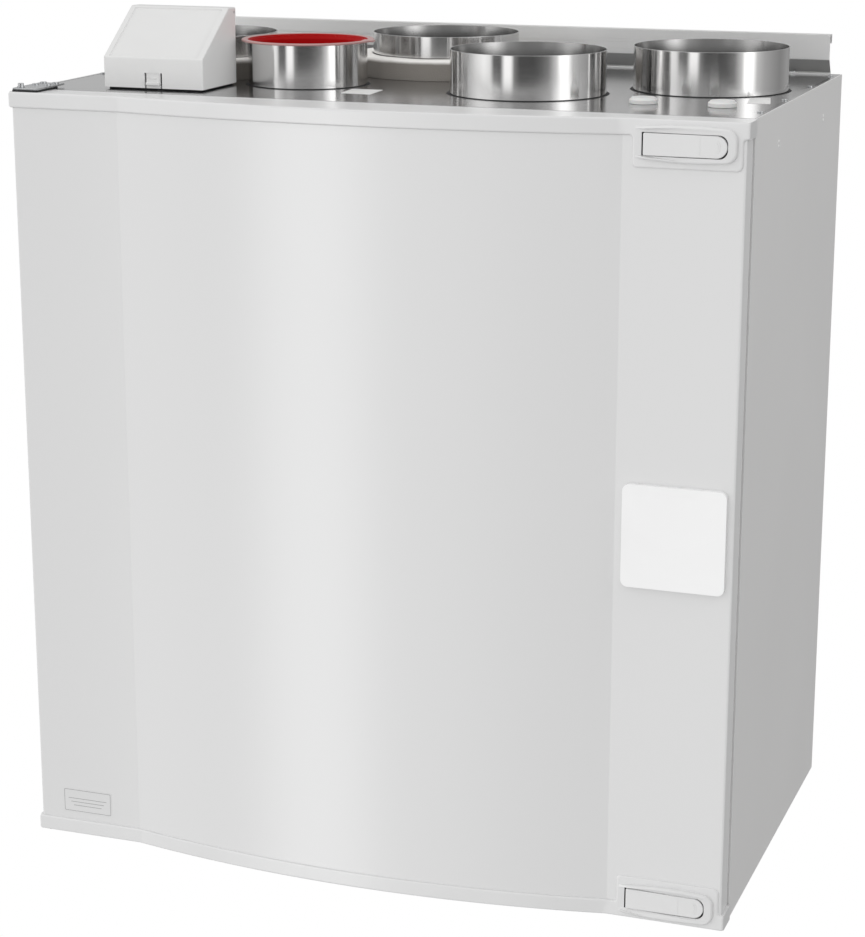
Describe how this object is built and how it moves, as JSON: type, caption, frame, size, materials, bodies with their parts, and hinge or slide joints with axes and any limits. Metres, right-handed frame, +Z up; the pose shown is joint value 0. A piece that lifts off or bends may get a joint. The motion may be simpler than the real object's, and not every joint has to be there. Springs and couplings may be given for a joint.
{
  "type": "heat recovery unit",
  "caption": "Wall-hung rotary heat recovery ventilation unit with top duct spigots, bow-front hinged door, lever latches and a terminal box.",
  "frame": {"origin": "centre of the cabinet's flat underside, door excluded", "axes": "+X to the right seen from the front, +Y to the wall, +Z up"},
  "size_m": [0.768, 0.4914, 0.887],
  "materials": {
    "white_paint": "satin powder coat",
    "galvanised": "satin galvanised sheet",
    "zinc_fasteners": "satin zinc plated",
    "spigot_steel": "bright rolled steel",
    "moulded_foam": "matte bead foam",
    "mineral_wool": "matte fibre",
    "black_rubber": "matte",
    "brush": "matte bristle",
    "foam_ring": "matte foam",
    "white_plastic": "satin moulded",
    "grey_plastic": "matte moulded",
    "gloss_white": "gloss",
    "red_plastic": "satin moulded",
    "black_plastic": "matte moulded",
    "dark_metal": "matte die cast",
    "aluminium_foil": "satin foil",
    "filter_fleece": "matte fleece"
  },
  "bodies": {
    "cabinet": {"left_side_panel": "white_paint", "right_side_panel": "white_paint", "rear_panel": "galvanised", "bottom_panel": "galvanised", "top_plate": "galvanised", "insulation_lining": "moulded_foam", "front_frame": "white_paint", "hinge_plates": "galvanised", "hinge_pins": "zinc_fasteners", "wall_bracket": "galvanised", "plate_screws": "zinc_fasteners", "side_rivets": "white_paint", "latch_keepers": "zinc_fasteners", "outdoor_air_spigot": "spigot_steel", "exhaust_air_spigot": "spigot_steel", "supply_air_spigot": "spigot_steel", "extract_air_spigot": "spigot_steel", "cooker_hood_spigot": "spigot_steel", "spigot_seals": "black_rubber", "spigot_insulation": "foam_ring", "blanking_plugs": "white_plastic", "terminal_box_base": "grey_plastic", "terminal_box_gasket": "black_rubber", "terminal_blocks": "grey_plastic", "cable_glands": "grey_plastic", "mid_shelves": "galvanised", "fan_deck": "galvanised", "air_shafts": "galvanised", "rotor_cassette": "galvanised", "rotor_axle": "zinc_fasteners", "rotor_brush_seals": "brush", "rotor_belt": "black_rubber", "rotor_motor": "dark_metal", "supply_filter": "filter_fleece", "extract_filter": "filter_fleece", "supply_fan_scroll": "black_plastic", "supply_fan_motor": "dark_metal", "extract_fan_scroll": "black_plastic", "extract_fan_motor": "dark_metal", "after_heater": "galvanised", "control_box": "galvanised", "wiring_harness": "black_plastic"},
    "door": {"door_skin": "white_paint", "door_inner_panel": "galvanised", "door_insulation": "mineral_wool", "door_top_cap": "white_plastic", "door_bottom_cap": "white_plastic", "door_gasket": "black_rubber", "control_panel": "gloss_white"},
    "upper_latch": {"upper_latch_lever": "white_plastic"},
    "lower_latch": {"lower_latch_lever": "white_plastic"},
    "terminal_cover": {"terminal_box_cover": "white_plastic"},
    "hood_plug": {"cooker_hood_plug": "red_plastic"},
    "rotor": {"rotor_rim": "aluminium_foil", "rotor_matrix": "aluminium_foil", "rotor_hub": "aluminium_foil"},
    "pulley": {"motor_pulley": "zinc_fasteners"},
    "supply_fan": {"supply_fan_wheel": "black_plastic"},
    "extract_fan": {"extract_fan_wheel": "black_plastic"}
  },
  "joints": [
    {"name": "door_hinge", "type": "hinge", "parent": "cabinet", "child": "door", "pos_m": [-0.374, -0.2375, 0.4035], "axis": [0, 0, -1], "range_deg": [0, 110]},
    {"name": "upper_latch_turn", "type": "hinge", "parent": "door", "child": "upper_latch", "pos_m": [0.352, -0.2425, 0.7836], "axis": [0, 0, 1], "range_deg": [0, 60]},
    {"name": "lower_latch_turn", "type": "hinge", "parent": "door", "child": "lower_latch", "pos_m": [0.352, -0.2425, 0.022], "axis": [0, 0, 1], "range_deg": [0, 60]},
    {"name": "terminal_cover_hinge", "type": "hinge", "parent": "cabinet", "child": "terminal_cover", "pos_m": [-0.251, -0.105, 0.8815], "axis": [-1, 0, 0], "range_deg": [0, 75]},
    {"name": "hood_plug_slide", "type": "slide", "parent": "cabinet", "child": "hood_plug", "axis": [0, 0, 1], "range_m": [0, 0.1]},
    {"name": "rotor_spin", "type": "hinge", "parent": "cabinet", "child": "rotor", "pos_m": [0, -0.0065, 0.232], "axis": [1, 0, 0], "continuous": true},
    {"name": "pulley_spin", "type": "hinge", "parent": "cabinet", "child": "pulley", "pos_m": [0, -0.1665, 0.41], "axis": [1, 0, 0], "continuous": true},
    {"name": "supply_fan_spin", "type": "hinge", "parent": "cabinet", "child": "supply_fan", "pos_m": [0.262, -0.1365, 0.133], "axis": [0, 1, 0], "continuous": true},
    {"name": "extract_fan_spin", "type": "hinge", "parent": "cabinet", "child": "extract_fan", "pos_m": [-0.248, -0.1365, 0.61], "axis": [0, 1, 0], "continuous": true}
  ],
  "couplings": [
    {"joint": "pulley_spin", "follows": "rotor_spin", "ratio": 9.7778}
  ]
}
